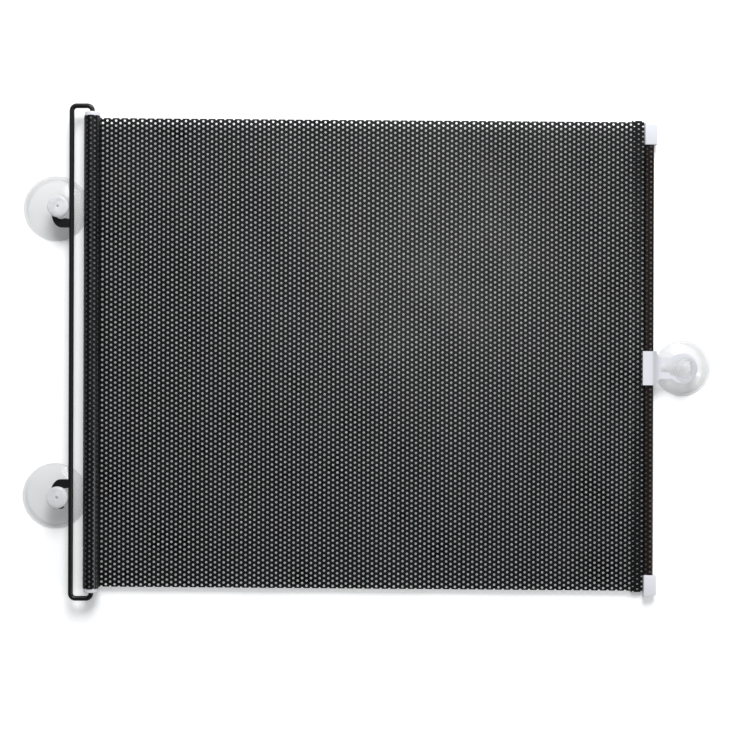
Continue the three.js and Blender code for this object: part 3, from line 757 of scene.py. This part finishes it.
def barCap(name, node, side):  # open towards the bar, its outer end cut at a slant
    low, high = cadBox[node]
    size, middle = high - low, (high + low) / 2
    bm = bmesh.new()
    bmesh.ops.create_cube(bm, size=1, matrix=Matrix.Translation(middle) @ Matrix.Diagonal((*size, 1)))
    slanted = [v for v in bm.verts if (v.co.y - middle.y) * side > 0 and v.co.x > middle.x]
    bmesh.ops.translate(bm, verts=slanted, vec=(0, -side * capShape["slant"], 0))
    mouth = [f for f in bm.faces if f.normal.y * side < -0.9]
    bmesh.ops.inset_region(bm, faces=mouth, thickness=capShape["wall"], use_even_offset=True)
    bottom = bmesh.ops.extrude_face_region(bm, geom=mouth)
    bmesh.ops.delete(bm, geom=mouth, context="FACES_ONLY")
    moved = [v for v in bottom["geom"] if isinstance(v, bmesh.types.BMVert)]
    bmesh.ops.translate(bm, verts=moved, vec=(0, side * capShape["socket"], 0))
    bmesh.ops.recalc_face_normals(bm, faces=bm.faces)
    sharp = [e for e in bm.edges if len(e.link_faces) == 2 and e.is_convex
             and e.calc_face_angle(0) > math.radians(30)]
    bmesh.ops.bevel(bm, geom=sharp, offset=capShape["edge"], offset_type="OFFSET", segments=3,
                    profile=0.5, affect="EDGES", material=-1, clamp_overlap=True)
    return finishedPiece(bm, name, [whiteLook], "pull_end", node, 40)


tabShape = {
    "blockWidth": 29 * mm,
    "backWall": 1.4 * mm,
    "wall": 1.5 * mm,
    "seat": 0.3 * mm,
    "ringRadius": 12.8 * mm,
    "ringWall": 5.6 * mm,
    "plate": 2.6 * mm,
    "waist": 9 * mm,
    "fillet": 5 * mm,
    "slotWide": 6.4 * mm,
    "slotNarrow": 3.4 * mm,
    "slotWideLength": 18 * mm,
    "slotNarrowLength": 7.7 * mm,
    "edge": 0.45 * mm,
    "filletSteps": 10,
    "ringSteps": 56,
    "baySteps": 6,
    "cornerSteps": 8,
    "overcut": 1 * mm,
    "tall": 20 * mm,
}


def curvePoints(start, control, end, steps):  # a quadratic curve without its first point
    def at(s):
        return tuple((1 - s) ** 2 * a + 2 * s * (1 - s) * b + s * s * c
                     for a, b, c in zip(start, control, end))
    return [at(i / steps) for i in range(1, steps + 1)]


def pullTab():  # a block clipped over the hem, rising to a flat ring with a keyhole for the cup's neck
    low, high = cadBox["pull_tab"]
    middleY, z = (low.y + high.y) / 2, rollAxis.z
    hemZ = (hemLow.z + hemHigh.z) / 2
    half = tabShape["blockWidth"] / 2
    left, right = low.x, hemHigh.x + tabShape["backWall"]
    slotEnd = high.x - tabShape["ringWall"]
    ringX = high.x - tabShape["ringRadius"]
    waist, fillet, ring = tabShape["waist"], tabShape["fillet"], tabShape["ringRadius"]
    meeting = 180 - math.degrees(math.asin(waist / ring))
    filletSteps, cornerSteps = tabShape["filletSteps"], tabShape["cornerSteps"]
    baySteps, overcut = tabShape["baySteps"], tabShape["overcut"]
    upper = [(left, half), (right, half)]
    upper += curvePoints((right, half), (right, waist), (right + fillet, waist), filletSteps)
    arc = arcPoints((ringX, 0), ring, meeting, -meeting, tabShape["ringSteps"])
    lower = [(x, -y) for x, y in reversed(upper)]
    outline = upper + arc + lower

    wide, narrow = tabShape["slotWide"], tabShape["slotNarrow"]
    wideX = slotEnd - tabShape["slotWideLength"]
    narrowX = wideX - tabShape["slotNarrowLength"]
    corner, bay = cupShape["neckRadius"] / 2, narrow / 2
    slotUpper = [(narrowX, narrow - bay)]
    slotUpper += curvePoints((narrowX, narrow - bay), (narrowX, narrow), (narrowX + bay, narrow), baySteps)
    slotUpper += [(wideX, narrow)]
    slotUpper += curvePoints((wideX, narrow), (wideX, wide), (wideX + corner, wide), cornerSteps)
    slotUpper += [(slotEnd - corner, wide)]
    slotUpper += curvePoints((slotEnd - corner, wide), (slotEnd, wide), (slotEnd, wide - corner),
                             cornerSteps)
    slot = slotUpper + [(x, -y) for x, y in reversed(slotUpper)]

    reach, t = hemShape["pocketHalf"] + tabShape["seat"], tabShape["plate"]
    blockLow, blockHigh = hemZ - reach - tabShape["wall"], hemZ + reach + tabShape["wall"]
    beyond = high.x + overcut
    side = [(left, blockLow), (right, blockLow), (right, hemZ)]
    side += curvePoints((right, hemZ), (right + fillet / 2, z - t / 2), (right + fillet, z - t / 2),
                        cornerSteps)
    side += [(beyond, z - t / 2), (beyond, z + t / 2), (right + fillet, z + t / 2)]
    side += curvePoints((right + fillet, z + t / 2), (right, z + t / 2), (right - fillet / 2, blockHigh),
                        cornerSteps)
    side += [(left, blockHigh)]
    pocketX = hemHigh.x - hemShape["pocket"]
    channel = [(pocketX - tabShape["seat"], hemZ - reach), (hemHigh.x + tabShape["seat"], hemZ - reach),
               (hemHigh.x + tabShape["seat"], hemZ + reach), (pocketX - tabShape["seat"], hemZ + reach)]
    lip = perforation["thickness"] + tabShape["seat"]
    mouth = [(left - overcut, hemZ - lip), (pocketX, hemZ - lip), (pocketX, hemZ + lip),
             (left - overcut, hemZ + lip)]

    def upright(u, v, h):
        return Vector((u, middleY + v, h))

    def sideways(u, v, h):
        return Vector((u, middleY + h, v))

    span, tall = half + overcut, tabShape["tall"]
    bm = combined(prism(outline, 0, tall, upright),
                  ("INTERSECT", prism(side, -span, span, sideways)),
                  ("DIFFERENCE", prism(slot, -overcut, tall + overcut, upright)),
                  ("DIFFERENCE", prism(channel, -span, span, sideways)),
                  ("DIFFERENCE", prism(mouth, -span, span, sideways)))
    bmesh.ops.remove_doubles(bm, verts=bm.verts, dist=hair)
    piece = finishedPiece(bm, "keyholeTab", [whiteLook], "pull_end", "pull_tab", 40)
    addModifier(piece, "BEVEL", width=tabShape["edge"], segments=3, limit_method="ANGLE",
                angle_limit=math.radians(40), profile=0.5)
    return piece


endPlug("whitePlugUpper", "end_plug_upper", 1)
endPlug("whitePlugLower", "end_plug_lower", -1)
barCap("whiteCapUpper", "bar_cap_upper", 1)
barCap("whiteCapLower", "bar_cap_lower", -1)
pullTab()
print("plugs, caps and tab made")
